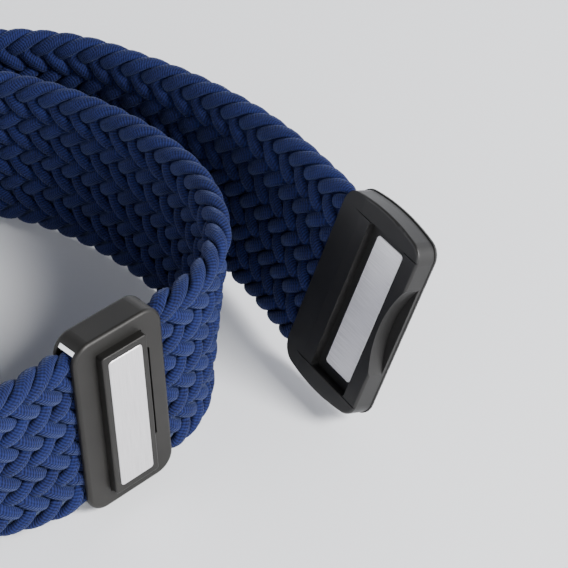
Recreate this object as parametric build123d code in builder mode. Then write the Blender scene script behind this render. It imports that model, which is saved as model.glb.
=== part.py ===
"""Braided fitness tracker band with a magnetic clasp, standing on its long edge.

Millimetres. Origin midway between the two spring bar axes, on the plane the band stands on.
+X points from the tracker carrier towards the clasp, +Z along the strap's width.
"""
from build123d import *
from math import atan2, cos, degrees, hypot, radians, sin
import os

os.makedirs("parts", exist_ok=True)

# ---------------------------------------------------------------- driving dimensions
STRAP_WIDTH = 20.0
STRAP_THICKNESS = 2.9
STRAP_EDGE_RADIUS = 1.0
SLIDER_HEIGHT = 22.6
MID_HEIGHT = SLIDER_HEIGHT / 2            # height of the strap's centre line above the floor
RUNNING_CLEARANCE = 0.05                  # radial, between parts that turn or slide

LUG_HALF_SPACING = 21.15                  # half the distance between the spring bar axes
LUG_RADIUS = 2.3
LUG_THICKNESS = 2.3

# Inner strap, from the near spring bar: stretches of (radius, turn in degrees), radius 0 is a length.
INNER_START_HEADING = -55.0
SLIDER_BEFORE = 10.0                      # straight strap behind the slider's centre
SLIDER_AFTER = 6.7                        # straight strap ahead of it
INNER_STRETCHES = [
    (30.0, 55.0),
    (24.0, 43.6),
    (0, SLIDER_BEFORE + SLIDER_AFTER),
    (14.5, 39.2),
    (23.2, 44.6),
    (47.8, 23.0),
    (30.0, 50.1),
    (0, 3.0),
]
NEAR_STRAP_START = 6.2                    # along the path, where the free strap begins
SLIDER_STATION = 30.0 * radians(55.0) + 24.0 * radians(43.6) + SLIDER_BEFORE
INNER_LEANS = [(0, 0), (37, 0), (46, -2.5), (64.5, -2.5), (77, 7.6), (91, 7.2), (111, 3.5), (138, 0)]
SQUEEZED_THICKNESS = 2.3                  # where the slider runs
SQUEEZED_FROM, SQUEEZED_TO = 46.9, 64.0

# Loop ring that the strap turns around, and the outer strap that leaves it.
RING_BAR_RADIUS = 1.5
FOLD_CLEARANCE = 0.05
FOLD_THICKNESS = 2.5                      # the strap is drawn thinner where it turns round the bar
OUTER_STRETCHES = [
    (0, 3.0),
    (57.7, -20.5),
    (24.8, -30.9),
    (63.5, -29.6),
    (0, 8.15),
]
OUTER_END_HEIGHT = 12.57                  # the outer strap rises a little towards the clasp
OUTER_LEANS = [(0, 0), (23.7, 5.4), (41.7, 7.9), (59.7, 17.2), (78.0, 21.4)]
STRETCH_STATION = 14.0                    # where the outer strap is split for its elastic stretch
FLEX_BEFORE_END = 37.0                    # first bend line, before the clasp's mouth
CLASP_FLEX_BEFORE_END = 2.0               # second bend line
SPLIT_GAP = 0.16                          # between two neighbouring stretches of strap
LINK_GAP = 0.4                            # between the strap and a link that turns on its spring bar
FOLD_TAIL = 2.8                           # straight strap that leaves the ring's bar on the inner side

# Slider (the half that stays on the inner strap)
SLIDER_WIDTH = 11.6
SLIDER_THICKNESS = 3.6
SLIDER_CORNER = 2.3
SLIDER_WALL = 0.6
SLOT_HEIGHT = 20.5
BOSS_WIDTH, BOSS_HEIGHT, BOSS_RISE = 5.9, 18.7, 0.95
PLATE_WIDTH, PLATE_HEIGHT, PLATE_THICKNESS = 4.4, 17.0, 0.35
SIDE_SLOT_WIDTH, SIDE_SLOT_LENGTH, SIDE_SLOT_DEPTH = 0.5, 12.0, 0.35
SIDE_SLOT_X, SIDE_SLOT_RISE = 3.55, 0.6   # its middle, from the boss's middle

# Clasp (the half on the free end of the outer strap)
CLASP_YAW, CLASP_PITCH, CLASP_LEAN = -55.46, -2.96, 21.48
CLASP_MOUTH = 7.15                        # plate centre to the mouth the strap enters
CLASP_WIDTH, CLASP_HEIGHT = 10.4, 23.7
CLASP_MOUTH_CORNER, CLASP_FREE_CORNER = 2.3, 2.0
CLASP_BOW = 0.95                          # how far its top and bottom edges bulge
CLASP_FRONT, CLASP_BACK = 1.05, -1.95     # faces, measured from the steel plate's surface
COVER_THICKNESS = 0.5
RECESS_WIDTH, RECESS_HEIGHT = 6.2, 19.2
RAMP_LENGTH = 2.9
PARTING_LINE = 0.12                       # width and depth of the fine lines in the clasp's face
NOTCH_CHORD, NOTCH_DEPTH, NOTCH_RISE = 11.2, 1.35, 0.5

MAGNET_LENGTH, MAGNET_COUNT = 4.9, 3

# Spring bars
BAR_TUBE_RADIUS, BAR_TUBE_BORE = 0.75, 0.5
BAR_TUBE_LENGTH = 17.4
BAR_TIP_RADIUS = 0.4
BAR_TIP_REACH = 1.0
BAR_STEM_LENGTH = 4.0
COIL_RADIUS, COIL_WIRE, COIL_TURNS = 0.34, 0.1, 12
BARREL_RADIUS = 1.75


# ---------------------------------------------------------------- centre lines
def stretch_length(stretch):
    """Length of one stretch of a path."""
    radius, amount = stretch
    return amount if radius == 0 else radius * radians(abs(amount))


def path_length(stretches):
    """Length of a whole path."""
    return sum(stretch_length(stretch) for stretch in stretches)


def along(start, heading, stretches, distance):
    """Point (x, y) and heading in degrees after a distance along a path of arcs and straights."""
    x, y = start
    angle = radians(heading)
    for radius, amount in stretches:
        length = stretch_length((radius, amount))
        step = min(distance, length)
        if radius == 0:
            x += step * cos(angle)
            y += step * sin(angle)
        else:
            bend = (1 if amount > 0 else -1) / radius
            x += (sin(angle + bend * step) - sin(angle)) / bend
            y -= (cos(angle + bend * step) - cos(angle)) / bend
            angle += bend * step
        distance -= step
        if distance <= 0:
            break
    return x, y, degrees(angle)


def between(table, distance):
    """Straight-line reading of a table of (distance, value) pairs."""
    for (d0, v0), (d1, v1) in zip(table, table[1:]):
        if distance <= d1:
            return v0 + (v1 - v0) * max(0.0, distance - d0) / (d1 - d0)
    return table[-1][1]


NEAR_PIN = (0.0, -LUG_HALF_SPACING)
FAR_PIN = (0.0, LUG_HALF_SPACING)
INNER_LENGTH = path_length(INNER_STRETCHES)
OUTER_LENGTH = path_length(OUTER_STRETCHES)
STRAND_SPACING = 2 * (RING_BAR_RADIUS + FOLD_CLEARANCE) + FOLD_THICKNESS


def inner_at(distance):
    """Point and heading on the inner strap's centre line."""
    return along(NEAR_PIN, INNER_START_HEADING, INNER_STRETCHES, distance)


INNER_END_X, INNER_END_Y, INNER_END_HEADING = inner_at(INNER_LENGTH)
ACROSS = radians(INNER_END_HEADING - 90)
RING_BAR = (INNER_END_X + cos(ACROSS) * STRAND_SPACING / 2, INNER_END_Y + sin(ACROSS) * STRAND_SPACING / 2)
OUTER_START = (INNER_END_X + cos(ACROSS) * STRAND_SPACING, INNER_END_Y + sin(ACROSS) * STRAND_SPACING)
OUTER_START_HEADING = INNER_END_HEADING - 180


def outer_at(distance):
    """Point and heading on the outer strap's centre line."""
    return along(OUTER_START, OUTER_START_HEADING, OUTER_STRETCHES, distance)


def strap_plane(x, y, height, heading, side, lean):
    """Plane across a strap: local x points out of the loop, z along the strap. A leaning top points out."""
    h, tilt = radians(heading), radians(lean)
    outward = Vector(-sin(h) * side, cos(h) * side, 0)
    normal = outward * cos(tilt) - Vector(0, 0, 1) * sin(tilt)
    return Plane(origin=(x, y, height), x_dir=normal, z_dir=(cos(h), sin(h), 0))


def inner_plane(distance):
    """Section plane of the inner strap."""
    x, y, heading = inner_at(distance)
    return strap_plane(x, y, MID_HEIGHT, heading, -1, between(INNER_LEANS, distance))


def outer_plane(distance):
    """Section plane of the outer strap."""
    x, y, heading = outer_at(distance)
    height = MID_HEIGHT + (OUTER_END_HEIGHT - MID_HEIGHT) * distance / OUTER_LENGTH
    return strap_plane(x, y, height, heading, 1, between(OUTER_LEANS, distance))


def stations(start, end, spacing=3.0):
    """Evenly spaced distances from start to end."""
    count = max(1, round((end - start) / spacing))
    return [start + (end - start) * i / count for i in range(count + 1)]


def save(piece, name):
    """Labels a finished piece and writes it."""
    piece.part.label = name
    export_step(piece.part, f"parts/{name}.step")


def strap_piece(plane_at, start, end, thickness=STRAP_THICKNESS):
    """A stretch of strap lofted through leaning sections."""
    with BuildPart() as piece:
        for distance in stations(start, end, 5.0):
            with BuildSketch(plane_at(distance)):
                RectangleRounded(thickness, STRAP_WIDTH, STRAP_EDGE_RADIUS)
        loft(ruled=True)
    return piece


# ---------------------------------------------------------------- inner strap
with BuildPart() as inner_strap:
    for distance in stations(NEAR_STRAP_START, SQUEEZED_FROM):
        with BuildSketch(inner_plane(distance)):
            RectangleRounded(STRAP_THICKNESS, STRAP_WIDTH, STRAP_EDGE_RADIUS)
    loft(ruled=True)
    for distance in (SQUEEZED_FROM, SQUEEZED_TO):
        with BuildSketch(inner_plane(distance)):
            RectangleRounded(SQUEEZED_THICKNESS, STRAP_WIDTH, STRAP_EDGE_RADIUS)
    loft(ruled=True)
    for distance in stations(SQUEEZED_TO, INNER_LENGTH - FOLD_TAIL - LINK_GAP):
        with BuildSketch(inner_plane(distance)):
            RectangleRounded(STRAP_THICKNESS, STRAP_WIDTH, STRAP_EDGE_RADIUS)
    loft(ruled=True)
save(inner_strap, "inner_strap")

# ---------------------------------------------------------------- fold around the ring's bar
bar_plane = Plane(origin=(*RING_BAR, MID_HEIGHT), x_dir=(cos(radians(OUTER_START_HEADING)),
                                                         sin(radians(OUTER_START_HEADING)), 0))
FOLD_INNER = RING_BAR_RADIUS + FOLD_CLEARANCE
FOLD_OUTER = FOLD_INNER + FOLD_THICKNESS
with BuildPart() as strap_fold:
    with BuildSketch(bar_plane.offset(-STRAP_WIDTH / 2)):
        Circle(FOLD_OUTER)
        Circle(FOLD_INNER, mode=Mode.SUBTRACT)
        with Locations((FOLD_OUTER / 2, 0)):
            Rectangle(FOLD_OUTER, 2 * FOLD_OUTER, mode=Mode.SUBTRACT)
        with Locations((FOLD_TAIL / 2, -(FOLD_INNER + FOLD_OUTER) / 2)):
            Rectangle(FOLD_TAIL, FOLD_THICKNESS)
    extrude(amount=STRAP_WIDTH)
save(strap_fold, "strap_fold")

# ---------------------------------------------------------------- outer strap, in three stretches
FLEX_STATION = OUTER_LENGTH - FLEX_BEFORE_END
CLASP_FLEX_STATION = OUTER_LENGTH - CLASP_FLEX_BEFORE_END
outer_strap_root = strap_piece(outer_plane, SPLIT_GAP, STRETCH_STATION - SPLIT_GAP / 2, FOLD_THICKNESS)
outer_strap_middle = strap_piece(outer_plane, STRETCH_STATION + SPLIT_GAP / 2, FLEX_STATION - SPLIT_GAP / 2)
outer_strap_end = strap_piece(outer_plane, FLEX_STATION + SPLIT_GAP / 2, CLASP_FLEX_STATION - SPLIT_GAP / 2)

# The elastic core joins the first two stretches and pays out of the first as the strap stretches.
# It is straight, along the strap's direction at its middle, inside the gently curved strap.
CORE_START, CORE_END, CORE_MIDDLE = 1.0, 17.6, 9.6
CORE_WIDTH, CORE_THICKNESS, CORE_CLEARANCE = 15.0, 0.7, 0.08
CORE_INSET = 0.27                         # towards the inside of the bend, to balance the curve
core_middle = outer_plane(CORE_MIDDLE)
stretch_direction = core_middle.z_dir
core_plane = Plane(origin=core_middle.from_local_coords((-CORE_INSET, 0, 0)), x_dir=core_middle.x_dir,
                   z_dir=core_middle.z_dir)
with BuildPart() as core_space:
    with BuildSketch(core_plane.offset(CORE_START - CORE_MIDDLE - 0.3)):
        Rectangle(CORE_THICKNESS + 2 * CORE_CLEARANCE, CORE_WIDTH + 2 * CORE_CLEARANCE)
    extrude(amount=CORE_END - CORE_START + 0.6)
with BuildPart() as elastic_core:
    with BuildSketch(core_plane.offset(CORE_START - CORE_MIDDLE)):
        Rectangle(CORE_THICKNESS, CORE_WIDTH)
    extrude(amount=CORE_END - CORE_START)
save(elastic_core, "elastic_core")
for piece, name in ((outer_strap_root, "outer_strap_root"), (outer_strap_middle, "outer_strap_middle")):
    with BuildPart() as cored:
        add(piece.part)
        add(core_space.part, mode=Mode.SUBTRACT)
    save(cored, name)
save(outer_strap_end, "outer_strap_end")

# ---------------------------------------------------------------- slider
slider_section = inner_plane(SLIDER_STATION)
# local x along the strap, y along its width, z out of the loop
slider_plane = Plane(origin=slider_section.origin, x_dir=slider_section.z_dir, z_dir=slider_section.x_dir)
HALF_THICKNESS = SLIDER_THICKNESS / 2
SLOT_HALF = HALF_THICKNESS - SLIDER_WALL
LINER_RAIL = 0.45
RIVET_RADIUS = 0.22
rivet_spots = [(x, y) for x in (-4.0, 0.0, 4.0) for y in (-11.0, 11.0)]

with BuildPart() as slider_shell:
    with BuildSketch(slider_plane.offset(-SLOT_HALF)):
        RectangleRounded(SLIDER_WIDTH, SLIDER_HEIGHT, SLIDER_CORNER)
    extrude(amount=SLOT_HALF + HALF_THICKNESS)
    front_rim = slider_shell.edges().group_by(Axis(slider_plane.origin, slider_plane.z_dir))[-1]
    fillet(front_rim, 0.45)
    with BuildSketch(slider_plane.offset(-SLOT_HALF)):
        Rectangle(SLIDER_WIDTH, SLOT_HEIGHT + 2 * LINER_RAIL)
    extrude(amount=2 * SLOT_HALF, mode=Mode.SUBTRACT)
    with BuildSketch(slider_plane):
        Rectangle(BOSS_WIDTH + 0.04, BOSS_HEIGHT + 0.04)
    extrude(amount=SLIDER_THICKNESS, mode=Mode.SUBTRACT)
    # narrow slot beside the boss
    with BuildSketch(slider_plane.offset(HALF_THICKNESS - SIDE_SLOT_DEPTH)):
        with Locations((SIDE_SLOT_X, SIDE_SLOT_RISE)):
            RectangleRounded(SIDE_SLOT_WIDTH, SIDE_SLOT_LENGTH, 0.45 * SIDE_SLOT_WIDTH)
    extrude(amount=5, mode=Mode.SUBTRACT)
save(slider_shell, "slider_shell")

with BuildPart() as slider_liner:
    with BuildSketch(slider_plane.offset(-SLOT_HALF)):
        with Locations((0, (SLOT_HEIGHT + LINER_RAIL) / 2), (0, -(SLOT_HEIGHT + LINER_RAIL) / 2)):
            Rectangle(SLIDER_WIDTH - 0.1, LINER_RAIL - 0.04)
        RectangleRounded(SLIDER_WIDTH - 0.1, SLIDER_HEIGHT - 0.1, SLIDER_CORNER, mode=Mode.INTERSECT)
    extrude(amount=2 * SLOT_HALF - 0.02)
save(slider_liner, "slider_liner_rails")

with BuildPart() as slider_back_plate:
    with BuildSketch(slider_plane.offset(-HALF_THICKNESS)):
        RectangleRounded(SLIDER_WIDTH, SLIDER_HEIGHT, SLIDER_CORNER)
    extrude(amount=SLIDER_WALL)
    back_rim = slider_back_plate.edges().group_by(Axis(slider_plane.origin, slider_plane.z_dir))[0]
    fillet(back_rim, 0.35)
save(slider_back_plate, "slider_back_plate")

BOSS_TOP = HALF_THICKNESS + BOSS_RISE
BOSS_FLOOR = SLOT_HALF + 0.06
PLATE_SEAT = BOSS_TOP - PLATE_THICKNESS + 0.05
with BuildPart() as slider_boss:
    with BuildSketch(slider_plane.offset(BOSS_FLOOR)):
        RectangleRounded(BOSS_WIDTH, BOSS_HEIGHT, 0.35)
    extrude(amount=BOSS_TOP - BOSS_FLOOR)
    top_rim = slider_boss.edges().group_by(Axis(slider_plane.origin, slider_plane.z_dir))[-1]
    fillet(top_rim, 0.18)
    with BuildSketch(slider_plane.offset(PLATE_SEAT)):
        RectangleRounded(PLATE_WIDTH + 0.1, PLATE_HEIGHT + 0.1, 0.45)
    extrude(amount=1.0, mode=Mode.SUBTRACT)
    with BuildSketch(slider_plane.offset(BOSS_FLOOR + 0.2)):
        Rectangle(PLATE_WIDTH - 0.6, PLATE_HEIGHT - 0.9)
    extrude(amount=2.0, mode=Mode.SUBTRACT)
save(slider_boss, "slider_boss")


def steel_plate(plane, bottom):
    """Thin brushed plate with softened corners."""
    with BuildPart() as plate:
        with BuildSketch(plane.offset(bottom)):
            RectangleRounded(PLATE_WIDTH, PLATE_HEIGHT, 0.4)
        extrude(amount=PLATE_THICKNESS)
        chamfer(plate.edges().group_by(Axis(plane.origin, plane.z_dir))[-1], 0.06)
    return plate


def magnet_row(plane, bottom, height, width):
    """Three block magnets in a row along the strap's width."""
    with BuildPart() as magnets:
        with BuildSketch(plane.offset(bottom)):
            with GridLocations(0, MAGNET_LENGTH + 0.35, 1, MAGNET_COUNT):
                Rectangle(width, MAGNET_LENGTH)
        extrude(amount=height)
    return magnets


save(steel_plate(slider_plane, PLATE_SEAT + 0.01), "slider_steel_plate")
magnet_floor = BOSS_FLOOR + 0.22
save(magnet_row(slider_plane, magnet_floor, PLATE_SEAT - magnet_floor - 0.02, PLATE_WIDTH - 0.7),
     "slider_magnets")

# ---------------------------------------------------------------- clasp
def turned_frame(yaw, pitch, lean):
    """Directions along the clasp, up its height and out of its face."""
    yaw, pitch, lean = radians(yaw), radians(pitch), radians(lean)
    length_dir = Vector(cos(yaw) * cos(pitch), sin(yaw) * cos(pitch), sin(pitch))
    face = length_dir.cross(Vector(0, 0, 1)).normalized()
    up = face.cross(length_dir)
    return length_dir, up * cos(lean) - face * sin(lean), face * cos(lean) + up * sin(lean)


clasp_x, clasp_y, clasp_z = turned_frame(CLASP_YAW, CLASP_PITCH, CLASP_LEAN)
mouth_section = outer_plane(OUTER_LENGTH)
STRAP_BEHIND_PLATE = 0.4                  # strap's mid plane, behind the steel plate's surface
clasp_origin = mouth_section.origin + clasp_x * CLASP_MOUTH + clasp_z * STRAP_BEHIND_PLATE
clasp_plane = Plane(origin=clasp_origin, x_dir=clasp_x, z_dir=clasp_z)
clasp_axis = Axis(clasp_plane.origin, clasp_plane.z_dir)

COVER_FACE = CLASP_BACK + COVER_THICKNESS
HALF_CLASP = CLASP_WIDTH / 2
MOUTH_X = -(HALF_CLASP + RAMP_LENGTH)
TAB_THICKNESS, TAB_END = 1.6, -3.6
TAB_BOTTOM = -STRAP_BEHIND_PLATE - TAB_THICKNESS / 2
TAB_HEIGHT = 19.4
RAMP_EDGE = CLASP_FRONT - 0.35


def clasp_outline(grow=0.0):
    """Face outline of the clasp, with bowed top and bottom edges and rounded corners."""
    left, right = MOUTH_X - grow / 2, HALF_CLASP + grow / 2
    top, bottom = CLASP_HEIGHT / 2 + grow, -CLASP_HEIGHT / 2 - grow
    middle = (left + right) / 2
    with BuildSketch(mode=Mode.PRIVATE) as outline:
        with BuildLine():
            ThreePointArc((left, top - CLASP_BOW), (middle, top), (right, top - CLASP_BOW))
            ThreePointArc((left, bottom + CLASP_BOW), (middle, bottom), (right, bottom + CLASP_BOW))
            Line((left, top - CLASP_BOW), (left, bottom + CLASP_BOW))
            Line((right, top - CLASP_BOW), (right, bottom + CLASP_BOW))
        make_face()
        fillet(outline.vertices().group_by(Axis.X)[-1], CLASP_FREE_CORNER)
        fillet(outline.vertices().group_by(Axis.X)[0], CLASP_MOUTH_CORNER)
    return outline.sketch


with BuildPart() as clasp_frame:
    with BuildSketch(clasp_plane.offset(COVER_FACE)):
        add(clasp_outline())
    extrude(amount=CLASP_FRONT - COVER_FACE)
    fillet(clasp_frame.edges().group_by(clasp_axis)[-1], 0.3)
    # the ramp that falls away from the face towards the strap
    with BuildSketch(Plane(origin=clasp_plane.origin, x_dir=clasp_plane.x_dir,
                           z_dir=-clasp_plane.y_dir).offset(-CLASP_HEIGHT)):
        Polygon((-HALF_CLASP + 0.4, CLASP_FRONT), (MOUTH_X - 1, CLASP_FRONT), (MOUTH_X - 1, RAMP_EDGE),
                (MOUTH_X, RAMP_EDGE), align=None)
    extrude(amount=2 * CLASP_HEIGHT, mode=Mode.SUBTRACT)
    # recess that swallows the slider's boss, and the seats of the plate and magnets
    with BuildSketch(clasp_plane):
        RectangleRounded(RECESS_WIDTH, RECESS_HEIGHT, 0.45)
    extrude(amount=5, mode=Mode.SUBTRACT)
    with BuildSketch(clasp_plane.offset(-PLATE_THICKNESS)):
        RectangleRounded(PLATE_WIDTH + 0.1, PLATE_HEIGHT + 0.1, 0.45)
    extrude(amount=5, mode=Mode.SUBTRACT)
    with BuildSketch(clasp_plane.offset(COVER_FACE)):
        Rectangle(PLATE_WIDTH - 0.6, PLATE_HEIGHT - 0.9)
    extrude(amount=5, mode=Mode.SUBTRACT)
    # fine parting lines in the face, level with the ends of the recess
    with BuildSketch(clasp_plane.offset(CLASP_FRONT - PARTING_LINE)):
        with Locations((0, RECESS_HEIGHT / 2), (0, -RECESS_HEIGHT / 2)):
            Rectangle(4 * HALF_CLASP, PARTING_LINE)
    extrude(amount=5, mode=Mode.SUBTRACT)
    # pocket that takes the strap's end
    with BuildSketch(clasp_plane.offset(COVER_FACE)):
        with Locations(((TAB_END + MOUTH_X) / 2 - 2 + 0.1, 0)):
            Rectangle(TAB_END - MOUTH_X + 4.2, TAB_HEIGHT + 0.2)
    extrude(amount=TAB_BOTTOM + TAB_THICKNESS + 0.05 - COVER_FACE, mode=Mode.SUBTRACT)
    # half-moon finger notch in the free end, open to the face
    notch_radius = (NOTCH_CHORD ** 2 / 4 + NOTCH_DEPTH ** 2) / (2 * NOTCH_DEPTH)
    with BuildSketch(clasp_plane.offset(COVER_FACE + 0.45)):
        with Locations((HALF_CLASP - NOTCH_DEPTH + notch_radius, NOTCH_RISE)):
            Circle(notch_radius)
    extrude(amount=5, mode=Mode.SUBTRACT)
save(clasp_frame, "clasp_frame")

with BuildPart() as clasp_cover:
    with BuildSketch(clasp_plane.offset(CLASP_BACK)):
        add(clasp_outline(0.12))
    extrude(amount=COVER_THICKNESS - 0.02)
    fillet(clasp_cover.edges().group_by(clasp_axis)[0], 0.35)
save(clasp_cover, "clasp_cover")

save(steel_plate(clasp_plane, -PLATE_THICKNESS + 0.005), "clasp_steel_plate")
clasp_magnet_floor = COVER_FACE + 0.02
save(magnet_row(clasp_plane, clasp_magnet_floor, -PLATE_THICKNESS - clasp_magnet_floor - 0.02,
                PLATE_WIDTH - 0.7), "clasp_magnets")

with BuildPart() as strap_end_tab:
    with BuildSketch(outer_plane(CLASP_FLEX_STATION + SPLIT_GAP / 2)):
        RectangleRounded(STRAP_THICKNESS, STRAP_WIDTH, STRAP_EDGE_RADIUS)
    with BuildSketch(Plane(origin=clasp_plane.from_local_coords((MOUTH_X - 0.1, 0, -STRAP_BEHIND_PLATE)),
                           x_dir=-clasp_z, z_dir=clasp_x)):
        RectangleRounded(TAB_THICKNESS, TAB_HEIGHT, 0.6)
    loft(ruled=True)
    with BuildSketch(Plane(origin=clasp_plane.from_local_coords((MOUTH_X - 0.1, 0, -STRAP_BEHIND_PLATE)),
                           x_dir=-clasp_z, z_dir=clasp_x)):
        RectangleRounded(TAB_THICKNESS, TAB_HEIGHT, 0.6)
    extrude(amount=TAB_END - MOUTH_X + 0.1)
save(strap_end_tab, "strap_end_tab")

with BuildPart() as clasp_clamp_bar:
    with BuildSketch(clasp_plane.offset(COVER_FACE + 0.01)):
        with Locations((TAB_END - 1.6, 0)):
            RectangleRounded(2.4, TAB_HEIGHT - 1.0, 0.4)
    extrude(amount=TAB_BOTTOM - COVER_FACE - 0.02)
save(clasp_clamp_bar, "clasp_clamp_bar")

# ---------------------------------------------------------------- tracker carrier
CARRIER_HEIGHT = SLIDER_HEIGHT
CARRIER_HALF_LENGTH = LUG_HALF_SPACING - LUG_RADIUS - 0.5
CARRIER_FRONT, CARRIER_BACK = -8.6, 2.3
POCKET_LENGTH, POCKET_HEIGHT, POCKET_FLOOR = 33.0, 17.2, -0.2
WINDOW_LENGTH, WINDOW_HEIGHT = 27.0, 12.6
LUG_GAP = CARRIER_HEIGHT - 2 * LUG_THICKNESS
floor_plane = Plane.XY
carrier_side = Plane(origin=(0, 0, MID_HEIGHT), x_dir=(0, 1, 0), z_dir=(-1, 0, 0))

with BuildPart() as carrier_frame:
    with BuildSketch(floor_plane):
        with BuildLine():
            front = ThreePointArc((CARRIER_FRONT + 1.6, -CARRIER_HALF_LENGTH), (CARRIER_FRONT - 0.6, 0),
                                  (CARRIER_FRONT + 1.6, CARRIER_HALF_LENGTH))
            Polyline(front @ 1, (CARRIER_BACK - 4.2, LUG_HALF_SPACING + LUG_RADIUS * 0.7))
            Polyline((CARRIER_BACK - 4.2, LUG_HALF_SPACING + LUG_RADIUS * 0.7),
                     (CARRIER_BACK, LUG_HALF_SPACING + LUG_RADIUS * 0.7),
                     (CARRIER_BACK, -LUG_HALF_SPACING - LUG_RADIUS * 0.7),
                     (CARRIER_BACK - 4.2, -LUG_HALF_SPACING - LUG_RADIUS * 0.7), front @ 0)
        make_face()
    extrude(amount=CARRIER_HEIGHT)
    fillet(carrier_frame.edges().filter_by(Axis.Z), 1.3)
    fillet(carrier_frame.edges().group_by(Axis.Z)[-1], 0.6)
    fillet(carrier_frame.edges().group_by(Axis.Z)[0], 0.5)
    # clearance for the links between each pair of lugs
    with BuildSketch(floor_plane.offset(LUG_THICKNESS)):
        for side in (1, -1):
            with Locations((0, side * (CARRIER_HALF_LENGTH + 10))):
                Rectangle(60, 20)
    extrude(amount=LUG_GAP, mode=Mode.SUBTRACT)
    # pocket and window
    with BuildSketch(carrier_side.offset(-POCKET_FLOOR)):
        RectangleRounded(POCKET_LENGTH, POCKET_HEIGHT, 5.0)
    extrude(amount=20, mode=Mode.SUBTRACT)
    with BuildSketch(carrier_side.offset(-CARRIER_BACK - 1)):
        RectangleRounded(WINDOW_LENGTH, WINDOW_HEIGHT, 4.0)
    extrude(amount=20, mode=Mode.SUBTRACT)
    # blind holes for the spring bar tips
    with Locations((*NEAR_PIN, MID_HEIGHT), (*FAR_PIN, MID_HEIGHT)):
        Cylinder(BAR_TIP_RADIUS + RUNNING_CLEARANCE, LUG_GAP + 2 * 1.4, mode=Mode.SUBTRACT)
save(carrier_frame, "carrier_frame")


# ---------------------------------------------------------------- spring bars
TUBE_BOTTOM = MID_HEIGHT - BAR_TUBE_LENGTH / 2
TUBE_TOP = MID_HEIGHT + BAR_TUBE_LENGTH / 2
STEM_RADIUS = BAR_TUBE_BORE - RUNNING_CLEARANCE
RELEASE_TRAVEL = 1.1
KNOB_HEIGHT = TUBE_TOP - 2.4
KNOB_RADIUS, KNOB_REACH = 0.4, 2.5
KNOB_SLACK = 0.1


def link_plane(pin, towards):
    """Local x out along a link, z up; origin on the pin at mid height."""
    return Plane(origin=(*pin, MID_HEIGHT), x_dir=(towards[0] - pin[0], towards[1] - pin[1], 0),
                 z_dir=(0, 0, 1))


def knob_plane(link, side):
    """Local x up, local z out through the side of the link that faces the wrist."""
    return Plane(origin=link.from_local_coords((0, 0, KNOB_HEIGHT - MID_HEIGHT)), x_dir=(0, 0, 1),
                 z_dir=link.y_dir * side)


def rod(pin, bottom, length, radius):
    """Upright round bar."""
    with BuildPart() as bar:
        with BuildSketch(Plane.XY.offset(bottom)):
            with Locations(pin):
                Circle(radius)
        extrude(amount=length)
    return bar.part


def knob_slot(plane, depth):
    """Shape of the slot that the knob travels down."""
    with BuildPart() as slot:
        with BuildSketch(plane):
            with Locations((-RELEASE_TRAVEL / 2, 0)):
                SlotOverall(RELEASE_TRAVEL + 2 * (KNOB_RADIUS + KNOB_SLACK), 2 * (KNOB_RADIUS + KNOB_SLACK))
        extrude(amount=depth)
    return slot.part


def spring_bar(name, pin, out_plane):
    """Tube, fixed tip, sliding tip with its knob, and the coil between the tips."""
    slot = knob_slot(out_plane, BAR_TUBE_RADIUS + 1)
    fixed_stem = rod(pin, TUBE_BOTTOM + 0.05, BAR_STEM_LENGTH, BAR_TUBE_BORE - 0.01)
    fixed_point = rod(pin, TUBE_BOTTOM - BAR_TIP_REACH, BAR_TIP_REACH + 0.1, BAR_TIP_RADIUS)
    sliding_stem = rod(pin, TUBE_TOP - BAR_STEM_LENGTH - 0.05, BAR_STEM_LENGTH, STEM_RADIUS)
    sliding_point = rod(pin, TUBE_TOP - 0.15, BAR_TIP_REACH + 0.15, BAR_TIP_RADIUS)
    with BuildPart() as tube:
        with BuildSketch(Plane.XY.offset(TUBE_BOTTOM)):
            with Locations(pin):
                Circle(BAR_TUBE_RADIUS)
                Circle(BAR_TUBE_BORE, mode=Mode.SUBTRACT)
        extrude(amount=BAR_TUBE_LENGTH)
        add(slot, mode=Mode.SUBTRACT)
    save(tube, f"{name}_spring_bar_tube")
    with BuildPart() as fixed_tip:
        add(fixed_stem)
        add(fixed_point)
    save(fixed_tip, f"{name}_spring_bar_fixed_tip")
    with BuildPart() as sliding_tip:
        add(sliding_stem)
        add(sliding_point)
        with BuildSketch(out_plane):
            Circle(0.2)
        extrude(amount=2, mode=Mode.SUBTRACT)
    save(sliding_tip, f"{name}_spring_bar_sliding_tip")
    with BuildPart() as knob:
        with BuildSketch(out_plane.offset(BAR_TUBE_BORE)):
            Circle(KNOB_RADIUS)
        extrude(amount=KNOB_REACH - BAR_TUBE_BORE)
        fillet(knob.edges().group_by(Axis(out_plane.origin, out_plane.z_dir))[-1], 0.12)
        with BuildSketch(out_plane.offset(0.02)):
            Circle(0.18)
        extrude(amount=BAR_TUBE_RADIUS)
    save(knob, f"{name}_release_knob")
    coil_bottom = TUBE_BOTTOM + BAR_STEM_LENGTH + COIL_WIRE / 2 + 0.1
    coil_top = TUBE_TOP - BAR_STEM_LENGTH - COIL_WIRE / 2 - 0.1
    with BuildPart() as coil:
        with BuildLine() as coil_line:
            Helix((coil_top - coil_bottom) / COIL_TURNS, coil_top - coil_bottom, COIL_RADIUS,
                  center=(*pin, coil_bottom))
        with BuildSketch(Plane(origin=coil_line.line @ 0, z_dir=coil_line.line % 0)):
            Circle(COIL_WIRE / 2)
        sweep(is_frenet=True)
    save(coil, f"{name}_spring_bar_coil")


near_strap_x, near_strap_y, near_strap_heading = inner_at(NEAR_STRAP_START)
near_link = link_plane(NEAR_PIN, (near_strap_x, near_strap_y))
far_link = link_plane(FAR_PIN, RING_BAR)
near_knob = knob_plane(near_link, 1)
far_knob = knob_plane(far_link, -1)
spring_bar("near", NEAR_PIN, near_knob)
spring_bar("far", FAR_PIN, far_knob)

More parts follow.
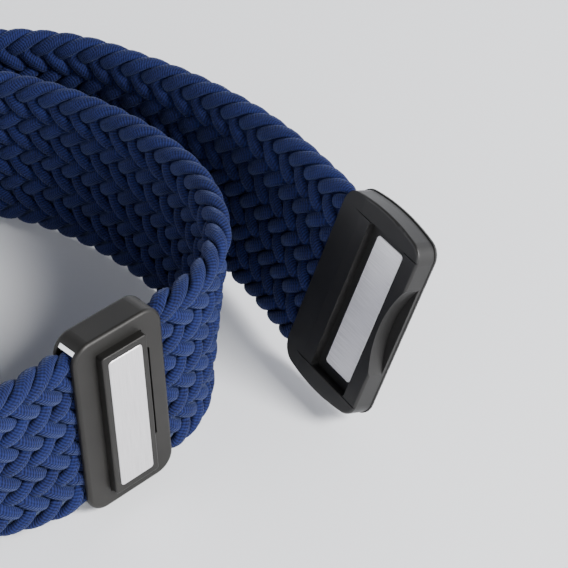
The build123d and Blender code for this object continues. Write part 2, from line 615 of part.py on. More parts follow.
# ---------------------------------------------------------------- links
BARREL_LENGTH = LUG_GAP - 0.4
SHOULDER_START = 3.0
LINK_HALF_HEIGHT = SLIDER_HEIGHT / 2 - 0.1


def link_block(plane, start, end, half_height, thickness):
    """Block across a link between two distances from the pin."""
    with BuildPart() as block:
        with BuildSketch(plane.offset(-half_height)):
            with Locations(((start + end) / 2, 0)):
                Rectangle(end - start, thickness)
        extrude(amount=2 * half_height)
    return block.part


def barrel(plane):
    """Barrel round the spring bar with the neck that joins it to the link's shoulder."""
    with BuildPart() as body:
        with BuildSketch(plane.offset(-BARREL_LENGTH / 2)):
            Circle(BARREL_RADIUS)
            with Locations((SHOULDER_START / 2, 0)):
                Rectangle(SHOULDER_START, 2 * BARREL_RADIUS - 0.5)
        extrude(amount=BARREL_LENGTH)
    return body.part


def tube_bore(plane, out_plane):
    """Bore for the spring bar's tube together with the slot for its knob."""
    slot = knob_slot(out_plane, BARREL_RADIUS + 1)
    with BuildPart() as bore:
        with BuildSketch(plane.offset(-BARREL_LENGTH / 2)):
            Circle(BAR_TUBE_RADIUS + 0.02)
        extrude(amount=BARREL_LENGTH)
        add(slot)
    return bore.part


# Near link: grips the strap's fixed end between its walls, held by cross pins.
NEAR_LINK_END = hypot(near_strap_x - NEAR_PIN[0], near_strap_y - NEAR_PIN[1]) - LINK_GAP
NEAR_LINK_THICKNESS = 3.7
GRIP_DEPTH, GRIP_THICKNESS, GRIP_HEIGHT = 2.3, 1.9, 19.4
CRIMP_PIN_RADIUS = 0.45
crimp_plane = Plane(origin=near_link.from_local_coords((NEAR_LINK_END - GRIP_DEPTH / 2, 0, 0)),
                    x_dir=(0, 0, 1), z_dir=near_link.y_dir)

near_barrel = barrel(near_link)
near_bore = tube_bore(near_link, near_knob)
near_shoulder = link_block(near_link, SHOULDER_START, NEAR_LINK_END, LINK_HALF_HEIGHT, NEAR_LINK_THICKNESS)
near_pocket = link_block(near_link, NEAR_LINK_END - GRIP_DEPTH - 0.05, NEAR_LINK_END + 1,
                         GRIP_HEIGHT / 2 + 0.05, GRIP_THICKNESS + 0.06)
near_grip = link_block(near_link, NEAR_LINK_END - GRIP_DEPTH, NEAR_LINK_END + 0.05, GRIP_HEIGHT / 2,
                       GRIP_THICKNESS)

with BuildPart() as crimp_holes:
    with BuildSketch(crimp_plane.offset(-NEAR_LINK_THICKNESS)):
        with GridLocations(6.0, 0, 3, 1):
            Circle(CRIMP_PIN_RADIUS + 0.01)
    extrude(amount=2 * NEAR_LINK_THICKNESS)

with BuildPart() as near_link_body:
    add(near_shoulder)
    fillet(near_link_body.edges().filter_by(Axis.Z), 0.4)
    fillet(near_link_body.edges().group_by(Axis.Z)[-1], 0.35)
    fillet(near_link_body.edges().group_by(Axis.Z)[0], 0.35)
    add(near_barrel)
    add(near_pocket, mode=Mode.SUBTRACT)
    add(crimp_holes.part, mode=Mode.SUBTRACT)
    add(near_bore, mode=Mode.SUBTRACT)
save(near_link_body, "near_link_body")

with BuildPart() as near_strap_end:
    add(near_grip)
    add(crimp_holes.part, mode=Mode.SUBTRACT)
save(near_strap_end, "near_strap_end")

with BuildPart() as near_crimp_pins:
    with BuildSketch(crimp_plane.offset(-NEAR_LINK_THICKNESS / 2 + 0.05)):
        with GridLocations(6.0, 0, 3, 1):
            Circle(CRIMP_PIN_RADIUS)
    extrude(amount=NEAR_LINK_THICKNESS - 0.1)
save(near_crimp_pins, "near_crimp_pins")

# Far link: the ring the strap doubles back around.
RING_REACH = hypot(RING_BAR[0] - FAR_PIN[0], RING_BAR[1] - FAR_PIN[1])
RING_SHOULDER_END = RING_REACH - FOLD_OUTER - 0.5
RING_ARM_INNER, RING_ARM_THICKNESS = STRAP_WIDTH / 2 + 0.35, 3.0
ARM_HEIGHT = LINK_HALF_HEIGHT - RING_ARM_INNER

far_barrel = barrel(far_link)
far_bore = tube_bore(far_link, far_knob)
far_shoulder = link_block(far_link, SHOULDER_START, RING_REACH, LINK_HALF_HEIGHT, RING_ARM_THICKNESS)
with BuildPart() as loop_ring:
    add(far_shoulder)
    with BuildSketch(far_link.offset(-LINK_HALF_HEIGHT)):
        with Locations((RING_REACH, 0)):
            Circle(RING_ARM_THICKNESS / 2)
    extrude(amount=2 * LINK_HALF_HEIGHT)
    fillet(loop_ring.edges().group_by(Axis.Z)[-1], 0.25)
    fillet(loop_ring.edges().group_by(Axis.Z)[0], 0.25)
    add(far_barrel)
    with BuildSketch(far_link.offset(-RING_ARM_INNER)):
        with Locations(((RING_SHOULDER_END + RING_REACH) / 2 + 2, 0)):
            Rectangle(RING_REACH - RING_SHOULDER_END + 4, 10)
        with Locations((RING_REACH, 0)):
            Circle(RING_BAR_RADIUS, mode=Mode.SUBTRACT)
    extrude(amount=2 * RING_ARM_INNER, mode=Mode.SUBTRACT)
    add(far_bore, mode=Mode.SUBTRACT)
save(loop_ring, "loop_ring")
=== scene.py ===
"""Fitness tracker band with a braided strap and a magnetic clasp, dressed on its CAD frame.

Sizes of the strap, stations along it and the camera's place are in millimetres, and are turned into metres
where they are used. Lights, floor and bumps are in metres.
"""
from math import cos, pi, radians, sin

import bpy
import numpy as np
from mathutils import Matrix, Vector


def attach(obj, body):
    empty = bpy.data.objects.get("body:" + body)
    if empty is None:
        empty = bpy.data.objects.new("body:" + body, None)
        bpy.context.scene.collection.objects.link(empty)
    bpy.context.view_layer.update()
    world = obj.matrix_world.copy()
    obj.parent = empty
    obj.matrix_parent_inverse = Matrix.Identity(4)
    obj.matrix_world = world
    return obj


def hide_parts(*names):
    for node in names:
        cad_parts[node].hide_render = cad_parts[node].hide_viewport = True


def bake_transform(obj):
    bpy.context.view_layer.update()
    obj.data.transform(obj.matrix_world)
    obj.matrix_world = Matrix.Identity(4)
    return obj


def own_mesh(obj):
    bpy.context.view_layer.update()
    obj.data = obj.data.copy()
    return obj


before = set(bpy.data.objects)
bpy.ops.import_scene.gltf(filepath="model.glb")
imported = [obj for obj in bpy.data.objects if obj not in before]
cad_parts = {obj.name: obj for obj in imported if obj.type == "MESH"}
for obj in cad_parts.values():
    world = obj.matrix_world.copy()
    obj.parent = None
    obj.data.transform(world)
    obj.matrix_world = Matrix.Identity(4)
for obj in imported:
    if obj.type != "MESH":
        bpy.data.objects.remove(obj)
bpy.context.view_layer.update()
MM = 0.001

# ---------------------------------------------------------------- strap centre line
MID_HEIGHT = 11.3
NEAR_PIN = (0.0, -21.15)
INNER_HEADING = -55.0
SLIDER_BEFORE, SLIDER_AFTER = 10.0, 6.7   # straight strap on either side of the slider's centre
# stretches of (radius, turn in degrees); radius 0 is a straight length
INNER_STRETCHES = [
    (30.0, 55.0), (24.0, 43.6), (0, SLIDER_BEFORE + SLIDER_AFTER),
    (14.5, 39.2), (23.2, 44.6), (47.8, 23.0), (30.0, 50.1), (0, 3.0),
]
OUTER_STRETCHES = [(0, 3.0), (57.7, -20.5), (24.8, -30.9), (63.5, -29.6), (0, 8.15)]
TAIL = 3.0                                # the strap runs straight on into the clasp
FOLD_RADIUS = 2.8                         # of the strap's centre line round the ring's bar
# lean in degrees, and lift in millimetres, at distances along the inner or the outer strap
INNER_LEANS = [
    (0, 0), (28, 0), (41, 6.0), (50, -2.5), (64.5, -2.5), (77, 7.6), (91, 7.2), (111, 3.5), (138, 0),
]
OUTER_LEANS = [(0, 0), (23.7, 5.4), (41.7, 7.9), (59.7, 17.2), (78.0, 21.4)]
INNER_RISES = [(0, 0), (28, 0), (40, 1.1), (50, 0)]
OUTER_END_HEIGHT = 12.57


def arc_length(radius, amount):
    """Length of one stretch."""
    return amount if radius == 0 else radius * radians(abs(amount))


def walk(start, heading, stretches, step=0.25):
    """Rows of (distance, x, y, heading) at even steps along a path of arcs and straights."""
    x, y = start
    angle = radians(heading)
    rows = [(0.0, x, y, angle)]
    travelled = 0.0
    for radius, amount in stretches:
        length = arc_length(radius, amount)
        turn = 0.0 if radius == 0 else radians(amount)
        count = max(1, round(length / step))
        for _ in range(count):
            mid_angle = angle + turn / count / 2
            x += length / count * cos(mid_angle)
            y += length / count * sin(mid_angle)
            angle += turn / count
            travelled += length / count
            rows.append((travelled, x, y, angle))
    return np.array(rows)


def walk_on(rows, stretches):
    """A further path that starts where the given rows end."""
    return walk(rows[-1, 1:3], np.degrees(rows[-1, 3]), stretches)


inner_rows = walk(NEAR_PIN, INNER_HEADING, INNER_STRETCHES)
fold_rows = walk_on(inner_rows, [(FOLD_RADIUS, -180.0)])
outer_rows = walk_on(fold_rows, OUTER_STRETCHES + [(0, TAIL)])
INNER_LENGTH = inner_rows[-1, 0]
OUTER_ZERO = INNER_LENGTH + fold_rows[-1, 0]
OUTER_LENGTH = outer_rows[-1, 0] - TAIL
STRAP_LENGTH = OUTER_ZERO + OUTER_LENGTH
SLIDER_STATION = sum(arc_length(*stretch) for stretch in INNER_STRETCHES[:2]) + SLIDER_BEFORE

fold_rows[:, 0] += INNER_LENGTH
outer_rows[:, 0] += OUTER_ZERO
path = np.vstack([inner_rows, fold_rows[1:], outer_rows[1:]])

# the tail keeps the lean and height of the strap's end
path_station = np.minimum(path[:, 0], STRAP_LENGTH)
inner_lean = np.interp(path_station, *zip(*INNER_LEANS))
outer_lean = np.interp(path_station - OUTER_ZERO, *zip(*OUTER_LEANS))
lean = np.radians(np.where(path_station <= INNER_LENGTH, inner_lean, -outer_lean))[:, None]
outer_share = np.clip((path_station - OUTER_ZERO) / OUTER_LENGTH, 0, 1)
climb = outer_share * (OUTER_END_HEIGHT - MID_HEIGHT)
path_height = MID_HEIGHT + climb + np.interp(path_station, *zip(*INNER_RISES))

# face normal: out of the loop on the inner strap, and into it on the outer strap past the fold
level = np.stack([np.sin(path[:, 3]), -np.cos(path[:, 3]), np.zeros(len(path))], axis=1)
upright = np.array([0.0, 0.0, 1.0])
path_centre = np.column_stack([path[:, 1:3], path_height])
path_normal = level * np.cos(lean) - upright * np.sin(lean)
path_width = level * np.sin(lean) + upright * np.cos(lean)


def on_path(values, station):
    """Interpolates one of the path's vector columns at stations."""
    return np.stack([np.interp(station, path[:, 0], values[:, k]) for k in range(3)], axis=-1)


# ---------------------------------------------------------------- braid
CORDS = 19
EDGE_PITCH = 2.98                         # between neighbouring cords along the strap's edge
HALF_LAY = 10.55                          # where cords would turn if the edge were sharp
EDGE_ZONE = 1.5                           # depth of the rounded turn at each edge
ROW = 2 * HALF_LAY / CORDS                # between crossings, across the strap
EDGE_FLOAT = (CORDS - 3) / 2 * ROW        # beyond this a cord stays on top until it turns
SLOPE = 2 * ROW / EDGE_PITCH              # of a cord across the strap, for each millimetre along it
CORD_STRETCH = 1.27                       # length of cord for each millimetre of strap
CORD_HALF_WIDTH, CORD_HALF_THICKNESS = 0.80, 0.58
CORD_PLUMPNESS = (0.93, 1.02)             # share of that size in a crossing's dip, and on its crest
CORD_OFFSET = 0.84                        # of a cord's centre from the strap's middle plane
FLOAT_SQUARENESS = 0.5                    # below 1, a cord stays long on a face and dives quickly
CORE_HALF_THICKNESS = 0.35                # elastic band inside, seen in the gaps between cords
CORE_HALF_WIDTH = 9.4
CORE_CORNERS = [(1, 1), (-1, 1), (-1, -1), (1, -1)]
RING_POINTS = 12                          # round a cord
RING_STEP = 0.2                           # along a cord
GOLDEN_SHARE = 0.618                      # spreads the cords' shades evenly

SQUEEZE = 0.76                            # of the thickness, inside the slider, the clasp and the near link
NARROW = 0.965                            # of the width, in the same places
SLIDER_HALF = 5.8
CLASP_GRIP = 0.8                          # the clasp presses from this far before the strap's end
LINK_GRIP = 6.4                           # the near link presses up to this station
EASE_LENGTH, EASE_START = 1.6, 0.1        # of the swell beside each of them, and its share at their edge


def squeeze(station):
    """Share of full thickness, and of full width, left at a station."""
    from_slider = np.abs(station - SLIDER_STATION) - SLIDER_HALF
    from_clasp = STRAP_LENGTH - CLASP_GRIP - station
    from_link = station - LINK_GRIP
    nearest = np.minimum(np.minimum(from_slider, from_clasp), from_link)
    ease = np.clip(nearest / EASE_LENGTH + EASE_START, 0, 1)
    free = ease * ease * (3 - 2 * ease)
    return SQUEEZE + (1 - SQUEEZE) * free, NARROW + (1 - NARROW) * free


def cord_run(index, start, end):
    """One cord between two stations: stations, centre points, outward directions, tightness and crest."""
    half_period = 2 * HALF_LAY / SLOPE
    count = max(2, int(round((end - start) / RING_STEP)) + 1)
    station = np.linspace(start, end, count)
    phase = np.mod(station - index * EDGE_PITCH, 2 * half_period)
    rising = phase < half_period
    across = np.where(rising, -HALF_LAY + SLOPE * phase, HALF_LAY - SLOPE * (phase - half_period))
    # two over, two under
    wave = np.cos(pi * across / (2 * ROW))
    wave = np.sign(wave) * np.abs(wave) ** FLOAT_SQUARENESS
    wave = np.where(np.abs(across) > EDGE_FLOAT, 1.0, wave)
    # distance from the sharp turn, then the turn rounded into an arc
    left = HALF_LAY - np.abs(across)
    turn = np.clip(left / EDGE_ZONE, 0, 1) * pi / 2
    edge = np.sign(across)
    rounded = edge * (HALF_LAY - EDGE_ZONE + 2 * EDGE_ZONE / pi * np.cos(turn))
    across = np.where(left < EDGE_ZONE, rounded, across)
    face = np.where(rising, 1.0, -1.0)
    offset = CORD_OFFSET * wave * face * np.sin(turn)
    tightness, narrowing = squeeze(station)
    centre, normal, width = (on_path(values, station) for values in (path_centre, path_normal, path_width))
    points = centre + width * (across * narrowing)[:, None] + normal * (offset * tightness)[:, None]
    outward = normal * (face * np.sin(turn))[:, None] + width * (edge * np.cos(turn))[:, None]
    return station, points, outward, tightness, np.abs(wave)


def cord_rings(points, outward, tightness, crest, angles):
    """Rings of points round a cord's centre line, oval and flat against the strap."""
    tangent = np.gradient(points, axis=0)
    tangent /= np.linalg.norm(tangent, axis=1)[:, None]
    side = np.cross(tangent, outward)
    side /= np.linalg.norm(side, axis=1)[:, None]
    thin = np.cross(side, tangent)
    dip, top = CORD_PLUMPNESS
    plump = dip + (top - dip) * crest
    half_width = (CORD_HALF_WIDTH * plump)[:, None] * np.cos(angles)
    half_thickness = (CORD_HALF_THICKNESS * plump * tightness)[:, None] * np.sin(angles)
    return (points[:, None, :] + side[:, None, :] * half_width[:, :, None]
            + thin[:, None, :] * half_thickness[:, :, None])


def core_rings(start, end):
    """Rings of the flat elastic band inside the braid."""
    station = np.linspace(start, end, max(2, int(round(end - start)) + 1))
    centre, normal, width = (on_path(values, station) for values in (path_centre, path_normal, path_width))
    corners = [centre + normal * (a * CORE_HALF_THICKNESS) + width * (b * CORE_HALF_WIDTH)
               for a, b in CORE_CORNERS]
    return np.stack(corners, axis=1)


def ring_faces(ring_count, ring_points, first):
    """Quads that join neighbouring rings of points into a tube."""
    row = np.arange(ring_count - 1)[:, None] * ring_points
    here = np.arange(ring_points)[None, :]
    after = (here + 1) % ring_points
    following = row + ring_points
    quads = np.stack([row + here, row + after, following + after, following + here], axis=-1)
    return quads.reshape(-1, 4) + first


def quad_mesh(name, vertices, faces):
    """Smooth-shaded mesh from arrays of points in millimetres and of quads."""
    mesh = bpy.data.meshes.new(name)
    mesh.vertices.add(len(vertices))
    mesh.vertices.foreach_set("co", (vertices * MM).astype(np.float32).ravel())
    mesh.loops.add(faces.size)
    mesh.loops.foreach_set("vertex_index", faces.astype(np.int32).ravel())
    mesh.polygons.add(len(faces))
    mesh.polygons.foreach_set("loop_start", np.arange(len(faces), dtype=np.int32) * 4)
    mesh.update(calc_edges=True)
    mesh.polygons.foreach_set("use_smooth", np.ones(len(faces), dtype=bool))
    return mesh


def linked(name, data):
    """New object that holds the data, in the scene's collection."""
    obj = bpy.data.objects.new(name, data)
    bpy.context.scene.collection.objects.link(obj)
    return obj


def braid_length(name, start, end):
    """Object with every cord, and the band inside, between two stations of the strap."""
    vertices, faces, travelled, ring_places, shades = [], [], [], [], []
    first = 0
    angles = np.arange(RING_POINTS) * 2 * pi / RING_POINTS
    ring_place = np.stack([np.cos(angles), np.sin(angles), np.zeros(RING_POINTS)], axis=1)
    for index in range(CORDS):
        station, points, outward, tightness, crest = cord_run(index, start, end)
        rings = cord_rings(points, outward, tightness, crest, angles)
        vertices.append(rings.reshape(-1, 3))
        faces.append(ring_faces(len(points), RING_POINTS, first))
        # counted from the cord's phase, so neighbouring meshes agree at their cut
        travelled.append(np.repeat((station - index * EDGE_PITCH) * CORD_STRETCH, RING_POINTS))
        ring_places.append(np.tile(ring_place, (len(points), 1)))
        shades.append(np.full(len(vertices[-1]), (index * GOLDEN_SHARE) % 1.0))
        first += len(vertices[-1])
    core = core_rings(start, end)
    vertices.append(core.reshape(-1, 3))
    faces.append(ring_faces(len(core), len(CORE_CORNERS), first))
    travelled.append(np.zeros(len(vertices[-1])))
    ring_places.append(np.zeros((len(vertices[-1]), 3)))
    shades.append(np.zeros(len(vertices[-1])))

    mesh = quad_mesh(name, np.concatenate(vertices), np.concatenate(faces))
    for label, kind, field, values in (("travelled", "FLOAT", "value", travelled),
                                       ("shade", "FLOAT", "value", shades),
                                       ("ring", "FLOAT_VECTOR", "vector", ring_places)):
        attribute = mesh.attributes.new(label, kind, "POINT")
        attribute.data.foreach_set(field, np.concatenate(values).astype(np.float32).ravel())
    return linked(name, mesh)


# ---------------------------------------------------------------- material helpers
def material(name, **values):
    """New node material and its principled shader with inputs set by name."""
    made = bpy.data.materials.new(name)
    made.use_nodes = True
    shader = made.node_tree.nodes["Principled BSDF"]
    for key, value in values.items():
        shader.inputs[key.replace("_", " ")].default_value = value
    return made, shader


def add_node(made, kind, **settings):
    """Adds a node, with properties and input defaults set by name."""
    node = made.node_tree.nodes.new(kind)
    for key, value in settings.items():
        if hasattr(node, key):
            setattr(node, key, value)
        else:
            node.inputs[key].default_value = value
    return node


def mesh_value(made, name, output="Fac"):
    """Socket with one of the braid's mesh attributes."""
    return add_node(made, "ShaderNodeAttribute", attribute_name=name).outputs[output]


def split_vector(made, source):
    """Outputs X, Y and Z of a vector socket."""
    node = add_node(made, "ShaderNodeSeparateXYZ")
    made.node_tree.links.new(source, node.inputs[0])
    return node.outputs


def maths(made, operation, first, second=None):
    """Output of a math node fed by sockets."""
    node = add_node(made, "ShaderNodeMath", operation=operation)
    made.node_tree.links.new(first, node.inputs[0])
    if second is not None:
        made.node_tree.links.new(second, node.inputs[1])
    return node.outputs[0]


def scaled(made, source, factor, shift=0.0):
    """The socket times a factor, plus a shift."""
    node = add_node(made, "ShaderNodeMath", operation="MULTIPLY_ADD")
    made.node_tree.links.new(source, node.inputs[0])
    node.inputs[1].default_value = factor
    node.inputs[2].default_value = shift
    return node.outputs[0]


def sine_share(made, source):
    """Sine of a socket, brought between 0 and 1."""
    return scaled(made, maths(made, "SINE", source), 0.5, 0.5)


def ramp(made, source, low, high):
    """Colour ramp fed by a socket; low and high are (position, colour)."""
    node = add_node(made, "ShaderNodeValToRGB")
    made.node_tree.links.new(source, node.inputs[0])
    for element, (position, colour) in zip(node.color_ramp.elements, (low, high)):
        element.position = position
        element.color = (*colour, 1.0)
    return node.outputs[0]


def shades_of(made, shader, source, colour, darkest, brightest=1.0):
    """Base colour that varies between two shares of a colour as a noise socket does."""
    low = (0.3, [c * darkest for c in colour])
    high = (0.7, [c * brightest for c in colour])
    made.node_tree.links.new(ramp(made, source, low, high), shader.inputs["Base Color"])


def bump(made, shader, height, strength, distance):
    """Bump from a height socket into a shader."""
    node = add_node(made, "ShaderNodeBump", Strength=strength, Distance=distance)
    made.node_tree.links.new(height, node.inputs["Height"])
    made.node_tree.links.new(node.outputs["Normal"], shader.inputs["Normal"])


def noise(made, scale, detail, stretch=None):
    """Noise in object space, or over distances along given axes, each as (axis, scale)."""
    source = add_node(made, "ShaderNodeTexCoord").outputs["Object"]
    if stretch:
        combine = add_node(made, "ShaderNodeCombineXYZ")
        for place, (axis, amount) in zip(combine.inputs, stretch):
            dot = add_node(made, "ShaderNodeVectorMath", operation="DOT_PRODUCT")
            dot.inputs[1].default_value = [c * amount for c in axis]
            made.node_tree.links.new(source, dot.inputs[0])
            made.node_tree.links.new(dot.outputs["Value"], place)
        source = combine.outputs[0]
    node = add_node(made, "ShaderNodeTexNoise", Scale=scale, Detail=detail)
    made.node_tree.links.new(source, node.inputs["Vector"])
    return node.outputs["Fac"]


# ---------------------------------------------------------------- materials
RIB_PITCH = 0.30                          # of the cord's knitted cover, in millimetres along the cord
RIB_SLANT = 0.9                           # shift of the ribs at the cord's side, in rib pitches
STRAND_RATE = 14.0                        # of the lengthwise strands, in radians across half a cord
# colour of the cover's grooves, which is painted shade, and colour of its crests
GROOVE_SHADE_NAVY = (0.0004, 0.0012, 0.014)
BRIGHT_NAVY = (0.0075, 0.0145, 0.080)


def braid_material():
    """Navy cord with a ribbed knitted cover; its colour is darker in the cover's grooves, which is painted
    shade.
    """
    made, shader = material("navy_braid", Roughness=0.85, Specular_IOR_Level=0.18, Sheen_Weight=0.10,
                            Sheen_Roughness=0.45, Sheen_Tint=(0.45, 0.58, 1.0, 1.0))
    across = split_vector(made, mesh_value(made, "ring", "Vector"))["X"]
    # slanted ribs that mirror across the middle of the cord, like knit stitches
    slant = scaled(made, maths(made, "ABSOLUTE", across), RIB_SLANT)
    ribs_along = scaled(made, mesh_value(made, "travelled"), 1 / RIB_PITCH)
    rib = sine_share(made, scaled(made, maths(made, "ADD", ribs_along, slant), 2 * pi))
    strands = sine_share(made, scaled(made, across, STRAND_RATE))
    knit = maths(made, "ADD", scaled(made, rib, 0.7), scaled(made, strands, 0.3))
    fuzz = noise(made, 900.0, 2.0)
    # colour follows the knit's height, so its grooves get painted shade; the fuzz and each cord's share add
    # the cover's own uneven tone
    tone_with_groove_shade = maths(made, "ADD", scaled(made, knit, 0.62), scaled(made, fuzz, 0.28))
    tone_with_groove_shade = maths(made, "ADD", tone_with_groove_shade, scaled(made, mesh_value(made, "shade"), 0.10))
    colour = ramp(made, tone_with_groove_shade, (0.15, GROOVE_SHADE_NAVY), (0.80, BRIGHT_NAVY))
    made.node_tree.links.new(colour, shader.inputs["Base Color"])
    bump(made, shader, maths(made, "ADD", knit, scaled(made, fuzz, 0.3)), 0.9, 0.00009)
    return made


def coated_metal(name, colour, roughness, metallic=0.55):
    """Satin dark coating with a slight unevenness."""
    made, shader = material(name, Metallic=metallic, Roughness=roughness)
    shades_of(made, shader, noise(made, 120.0, 4.0), colour, 0.8, 1.25)
    bump(made, shader, noise(made, 2600.0, 2.0), 0.08, 0.00002)
    return made


def brushed_metal(name, colour, lengthwise, crosswise, roughness, metallic):
    """Steel with fine brush lines that run along one direction."""
    made, shader = material(name, Metallic=metallic)
    lines = noise(made, 1.0, 4.0, [(crosswise, 9000.0), (lengthwise, 250.0)])
    shades_of(made, shader, lines, colour, 0.82)
    unevenness = 0.22
    rough = scaled(made, lines, unevenness, roughness - unevenness / 2)
    made.node_tree.links.new(rough, shader.inputs["Roughness"])
    bump(made, shader, lines, 0.12, 0.00002)
    return made


def plain_metal(name, colour, roughness):
    """Polished or plated metal with faint clouding."""
    made, shader = material(name, Metallic=1.0, Roughness=roughness)
    shades_of(made, shader, noise(made, 400.0, 3.0), colour, 0.9)
    return made


# ---------------------------------------------------------------- directions of the steel plates
slider_out, slider_up = (on_path(values, SLIDER_STATION) for values in (path_normal, path_width))
slider_along = np.cross(slider_up, slider_out)

# the clasp is turned a little from the strap's end
CLASP_YAW, CLASP_PITCH, CLASP_LEAN = radians(-55.46), radians(-2.96), radians(21.48)
clasp_heading = np.array([cos(CLASP_YAW), sin(CLASP_YAW), 0.0])
clasp_along = clasp_heading * cos(CLASP_PITCH) + upright * sin(CLASP_PITCH)
clasp_face = np.cross(clasp_along, upright)
clasp_face /= np.linalg.norm(clasp_face)
clasp_up = np.cross(clasp_face, clasp_along) * cos(CLASP_LEAN) - clasp_face * sin(CLASP_LEAN)

# ---------------------------------------------------------------- finishes of the CAD nodes that stay
slider_coat = coated_metal("slider_coat", (0.017, 0.016, 0.0145), 0.48)
clasp_coat = coated_metal("clasp_coat", (0.019, 0.0185, 0.018), 0.45)
slider_plate = brushed_metal("slider_plate_steel", (0.72, 0.70, 0.71), slider_up, slider_along, 0.45, 0.8)
clasp_plate = brushed_metal("clasp_plate_steel", (1.0, 0.98, 0.98), clasp_along, clasp_up, 0.5, 0.7)
magnet_metal = plain_metal("magnet_metal", (0.5, 0.5, 0.53), 0.3)
pin_metal = plain_metal("pin_metal", (0.62, 0.62, 0.64), 0.25)

FINISHES = {
    "carrier_frame": coated_metal("carrier_coat", (0.03, 0.03, 0.034), 0.35, 0.2),
    "near_link_body": slider_coat,
    "loop_ring": slider_coat,
    "slider_shell": slider_coat,
    "slider_back_plate": slider_coat,
    "slider_boss": slider_coat,
    "slider_liner_rails": plain_metal("liner_metal", (0.80, 0.80, 0.80), 0.3),
    "slider_magnets": magnet_metal,
    "slider_steel_plate": slider_plate,
    "clasp_frame": clasp_coat,
    "clasp_cover": clasp_coat,
    "clasp_magnets": magnet_metal,
    "clasp_steel_plate": clasp_plate,
}
# spring bars, crimp pins and clamp bar are of pin metal; the strap's own nodes are hidden by the braid
for name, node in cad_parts.items():
    node.data.materials.clear()
    node.data.materials.append(FINISHES.get(name, pin_metal))

# ---------------------------------------------------------------- the strap, piece by piece
braid = braid_material()
LAP = 1.0                                 # the fold's braid stops this far inside the fold's ends
SLIDER_HOLD = 6.4                         # half the length of braid that moves whole with the slider
HOLD_MARGIN = 0.4                         # from there, a margin past the held length


def lay_braid(name, start, end, bodies, gives=None, stands_for=()):
    """One length of braid that rides on a body; where it gives, it is only baked in place."""
    obj = braid_length(name, start, end)
    obj.data.materials.append(braid)
    if gives is None:
        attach(obj, *bodies)
    else:
        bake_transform(obj)
    if stands_for:
        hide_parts(*stands_for)


# stations where the braid is cut, because what it follows changes
LINK_START, FRONT_START = 4.2, 16.0       # inside the near link, and past the give beside it
GATHER_START = SLIDER_STATION - 29.0      # this far before the slider's centre
HOLD_START = SLIDER_STATION - SLIDER_HOLD
HOLD_END = SLIDER_STATION + SLIDER_HOLD
DRAW_END = SLIDER_STATION + 27.0          # this far past the slider's centre
RETURN_START = INNER_LENGTH - 14.0        # this far before the fold, beside the far link
FOLD_START = INNER_LENGTH + LAP
FOLD_END = OUTER_ZERO - LAP
STRETCH_START = OUTER_ZERO + 4.0          # past the swing at the ring
BEND_START = OUTER_ZERO + 31.0            # round the first bend line
CLASP_START = OUTER_ZERO + 53.0           # round the second, beside the clasp
CLASP_END = STRAP_LENGTH + 0.9            # inside the clasp

lay_braid("braid_near", LINK_START, FRONT_START, ("near_link", "carrier"),
          (LINK_START + 1.3, FRONT_START - 2.0), ["near_strap_end"])
lay_braid("braid_front", FRONT_START, GATHER_START, ("carrier",))
lay_braid("braid_gather", GATHER_START, HOLD_START, ("carrier", "slider"),
          (GATHER_START + 1.0, HOLD_START - HOLD_MARGIN))
lay_braid("braid_in_slider", HOLD_START, HOLD_END, ("slider",))
lay_braid("braid_draw", HOLD_END, DRAW_END, ("slider", "carrier"),
          (HOLD_END + HOLD_MARGIN, DRAW_END - 2.0))
lay_braid("braid_inner", DRAW_END, RETURN_START, ("carrier",), None, ["inner_strap"])
lay_braid("braid_return", RETURN_START, FOLD_START, ("carrier", "far_link"),
          (RETURN_START + 2.0, FOLD_START - 2.0))
lay_braid("braid_fold", FOLD_START, FOLD_END, ("far_link",), None, ["strap_fold"])
lay_braid("braid_leave", FOLD_END, STRETCH_START, ("far_link", "outer_root"),
          (FOLD_END + 0.5, STRETCH_START - 0.5))
lay_braid("braid_stretch", STRETCH_START, BEND_START, ("outer_root", "outer_middle"),
          (STRETCH_START + 1.0, BEND_START - 1.0), ["outer_strap_root", "elastic_core"])
lay_braid("braid_bend", BEND_START, CLASP_START, ("outer_middle", "outer_end"),
          (BEND_START + 1.0, CLASP_START - 2.0), ["outer_strap_middle", "outer_strap_end"])
lay_braid("braid_clasp", CLASP_START, CLASP_END, ("outer_end", "clasp"),
          (STRAP_LENGTH - 12.0, STRAP_LENGTH - 0.6), ["strap_end_tab"])

# ---------------------------------------------------------------- coils of the spring bars, copied onto their links
for side in ("near", "far"):
    coil_name = f"{side}_spring_bar_coil"
    coil = linked(f"{side}_coil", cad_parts[coil_name].data.copy())
    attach(coil, f"{side}_link")
    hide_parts(coil_name)
    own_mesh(coil)

# ---------------------------------------------------------------- stage
FLOOR_HALF = 3.0
FLOOR_DROP = 0.0006                       # the floor lies just below the band
ROOM_STRENGTH = 2.7
CAMERA_PLACE = Vector((66.06, -172.487, 155.233)) * MM
CAMERA_ELEVATION = radians(40.0)
CAMERA_LENS, SENSOR_WIDTH = 126.76, 36.0


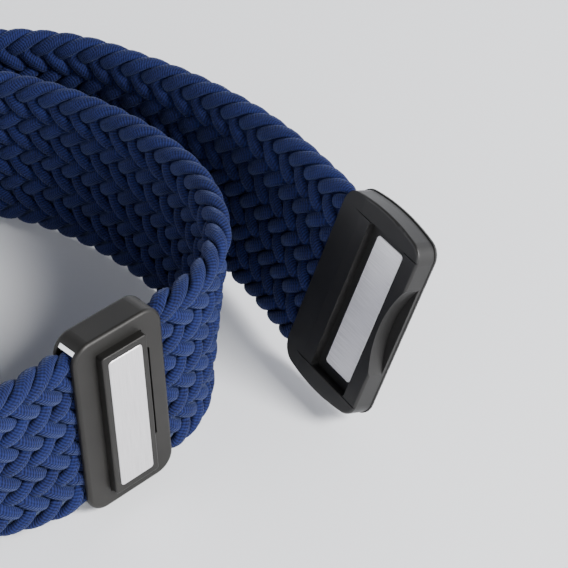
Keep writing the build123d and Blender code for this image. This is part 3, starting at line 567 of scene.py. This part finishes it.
def aimed(obj, place, direction):
    """Places a lamp or camera and turns it to look in a direction."""
    obj.location = place
    obj.rotation_euler = direction.to_track_quat("-Z", "Y").to_euler()


def add_floor():
    """Plain pale floor."""
    mesh = bpy.data.meshes.new("floor")
    corners = [(x * FLOOR_HALF, y * FLOOR_HALF, 0) for x, y in ((-1, -1), (1, -1), (1, 1), (-1, 1))]
    mesh.from_pydata(corners, [], [(0, 1, 2, 3)])
    paint, _ = material("floor_paint", Base_Color=(0.93, 0.935, 0.95, 1.0), Roughness=0.7,
                        Specular_IOR_Level=0.2)
    mesh.materials.append(paint)
    floor = linked("floor", mesh)
    floor.location.z = -FLOOR_DROP


def add_room():
    """Even light from a room with bright walls up to about 20 degrees, and a dim ceiling from about 40."""
    world = bpy.data.worlds.new("soft_room")
    bpy.context.scene.world = world
    world.use_nodes = True
    background = world.node_tree.nodes["Background"]
    background.inputs["Strength"].default_value = ROOM_STRENGTH
    direction = add_node(world, "ShaderNodeTexCoord").outputs["Generated"]
    walls = (0.36, (0.93, 0.95, 1.0))
    ceiling = (0.62, (0.03, 0.032, 0.038))
    colour = ramp(world, split_vector(world, direction)["Z"], walls, ceiling)
    world.node_tree.links.new(colour, background.inputs["Color"])


def area_light(name, place, target, size, power):
    """Square soft white light aimed at a point."""
    data = bpy.data.lights.new(name, "AREA")
    data.shape = "SQUARE"
    data.size = size
    data.energy = power
    lamp = linked(name, data)
    aimed(lamp, place, Vector(target) - Vector(place))


def add_camera():
    """Camera that looks along +Y and down at the band."""
    data = bpy.data.cameras.new("camera")
    data.lens = CAMERA_LENS
    data.sensor_width = SENSOR_WIDTH
    data.clip_start = 0.01
    data.clip_end = 20.0
    camera = linked("camera", data)
    aimed(camera, CAMERA_PLACE, Vector((0.0, cos(CAMERA_ELEVATION), -sin(CAMERA_ELEVATION))))
    bpy.context.scene.camera = camera


add_floor()
add_room()
area_light("key", (0.55, -0.27, 0.41), (0.05, 0.0, 0.0), 0.22, 10.0)
area_light("front_fill", (0.12, -0.66, 0.26), (0.05, 0.0, 0.01), 0.35, 0.8)
add_camera()
